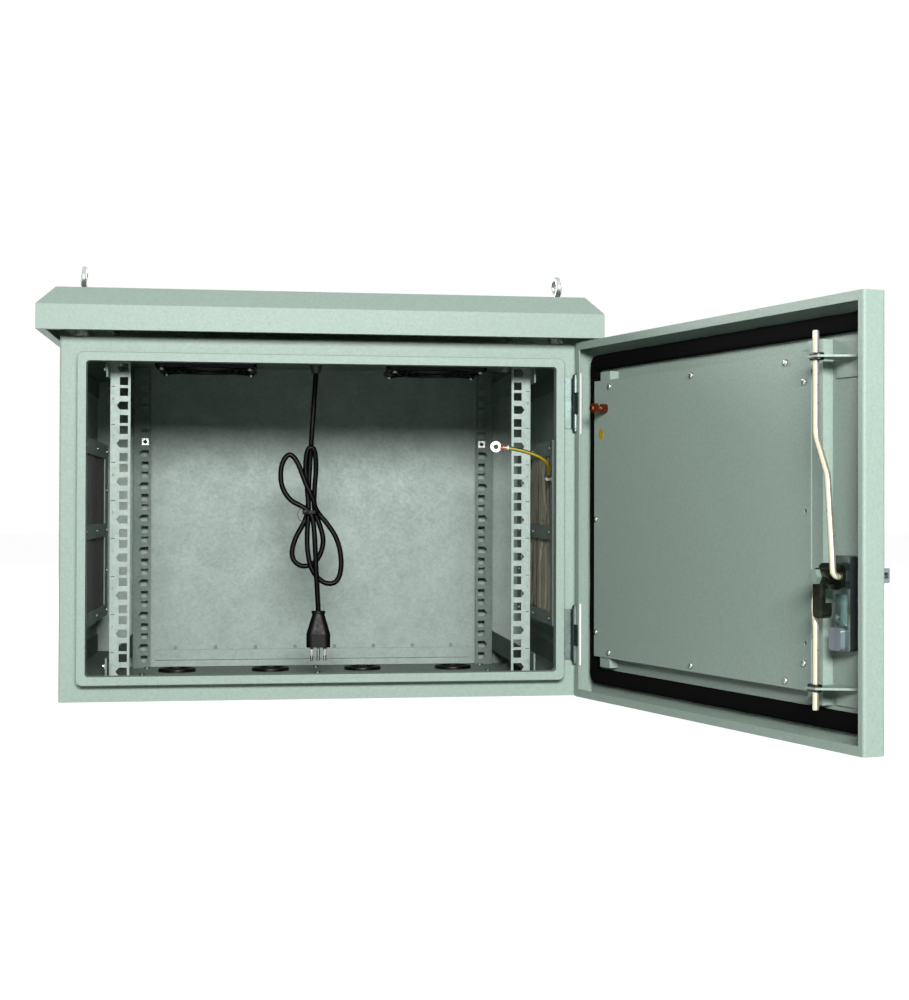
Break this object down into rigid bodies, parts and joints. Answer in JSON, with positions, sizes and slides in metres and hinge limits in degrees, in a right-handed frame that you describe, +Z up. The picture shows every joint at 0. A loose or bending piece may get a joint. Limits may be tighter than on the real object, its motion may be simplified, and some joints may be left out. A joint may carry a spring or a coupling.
{
  "type": "wall-mounted outdoor rack cabinet",
  "caption": "Wall-mounted outdoor equipment cabinet with a rain hood, hinged door with two-point rod lock, punched rack rails, louvred sides, ceiling fans and an inner power cord.",
  "frame": {"origin": "centre of the cabinet body's flat bottom face", "axes": "+X to the right seen from the front, +Y from the door side towards the back wall, +Z up"},
  "size_m": [0.8242, 1.0193, 0.5002],
  "materials": {
    "painted_sheet": "fine textured pale grey-green powder coat",
    "galvanised": "galvanised sheet with faint spangle",
    "zinc": "bright zinc plate",
    "yellow_zinc": "pale yellow zinc plate",
    "dark_nickel": "dark plated casting",
    "lock_chrome": "chrome",
    "grey_zinc_casting": "satin grey",
    "copper": "copper plate",
    "black_rubber": "matt",
    "black_foam": "matt foam",
    "black_plastic": "matt",
    "grey_plastic": "satin",
    "yellow_disc": "plain label film",
    "earth_wire_cover": "yellow and green cover",
    "dark_mesh": "coarse dark filter mesh",
    "filter_cloth": "crumpled pale filter cloth"
  },
  "bodies": {
    "cabinet": {"back_panel": "galvanised", "back_strip_and_gussets": "galvanised", "body_nuts": "zinc", "body_screws": "zinc", "body_shell": "painted_sheet", "cable_tie": "black_plastic", "cage_nuts": "zinc", "cord_gland": "grey_plastic", "earth_lugs": "zinc", "earth_wire": "earth_wire_cover", "fan_guards": "zinc", "fan_housings": "black_plastic", "fan_wiring_box": "grey_plastic", "filter_mats_left": "dark_mesh", "filter_mats_right": "filter_cloth", "filter_plate_left": "galvanised", "filter_plate_right": "galvanised", "floor_grommets": "black_rubber", "front_rail_left": "galvanised", "front_rail_right": "galvanised", "gland_plate": "galvanised", "hinge_body_leaves": "zinc", "hinge_pins": "zinc", "hood_spacers": "zinc", "lifting_eyes": "zinc", "plug_body": "black_plastic", "plug_pins": "zinc", "power_cord_drop": "black_plastic", "power_cord_hank": "black_plastic", "power_cord_tail": "black_plastic", "rail_bolts": "zinc", "rain_hood": "painted_sheet", "rear_rail_left": "galvanised", "rear_rail_right": "galvanised", "rivets": "zinc", "side_bars": "galvanised", "wall_stud": "zinc"},
    "door": {"door_pan": "painted_sheet", "door_gasket": "black_foam", "door_stiffeners": "painted_sheet", "inner_cover": "painted_sheet", "door_screws": "zinc", "door_earth_stud": "copper", "marker_disc": "yellow_disc", "rod_guides": "painted_sheet", "rod_bushes": "black_rubber", "lock_housing": "lock_chrome", "lock_cylinder": "grey_zinc_casting", "handle_base": "lock_chrome", "hinge_door_leaves": "zinc"},
    "lock": {"lock_spindle": "zinc", "cam_plate": "dark_nickel", "lock_tongue": "dark_nickel", "cam_bolt": "zinc"},
    "upper_lock_rod": {"upper_rod": "yellow_zinc"},
    "lower_lock_rod": {"lower_rod": "yellow_zinc"},
    "handle_lever": {"lever_with_pin": "lock_chrome"},
    "left_fan": {"fan_rotor_left": "black_plastic"},
    "right_fan": {"fan_rotor_right": "black_plastic"}
  },
  "joints": [
    {"name": "door_swing", "type": "hinge", "parent": "cabinet", "child": "door", "pos_m": [0.294, -0.231, 0], "axis": [0, 0, 1], "range_deg": [-106.4, 12]},
    {"name": "lock_turn", "type": "hinge", "parent": "door", "child": "lock", "pos_m": [0.46746, -0.74421, 0.1598], "axis": [-0.9593, -0.2823, 0], "range_deg": [0, 90]},
    {"name": "upper_rod_pivot", "type": "hinge", "parent": "lock", "child": "upper_lock_rod", "pos_m": [0.43831, -0.76738, 0.1598], "axis": [-0.9593, -0.2823, 0], "range_deg": [-95, 0]},
    {"name": "lower_rod_pivot", "type": "hinge", "parent": "lock", "child": "lower_lock_rod", "pos_m": [0.43041, -0.74052, 0.1598], "axis": [-0.9593, -0.2823, 0], "range_deg": [-99.5, 0]},
    {"name": "handle_lift", "type": "hinge", "parent": "lock", "child": "handle_lever", "pos_m": [0.49336, -0.73658, 0.1598], "axis": [0, 0, -1], "range_deg": [0, 38]},
    {"name": "left_fan_spin", "type": "hinge", "parent": "cabinet", "child": "left_fan", "pos_m": [-0.14, -0.075, 0.4035], "axis": [0, 0, 1], "continuous": true},
    {"name": "right_fan_spin", "type": "hinge", "parent": "cabinet", "child": "right_fan", "pos_m": [0.14, -0.075, 0.4035], "axis": [0, 0, 1], "continuous": true}
  ],
  "couplings": [
    {"joint": "upper_rod_pivot", "follows": "lock_turn", "ratio": -1.048},
    {"joint": "lower_rod_pivot", "follows": "lock_turn", "ratio": -1.0995}
  ]
}
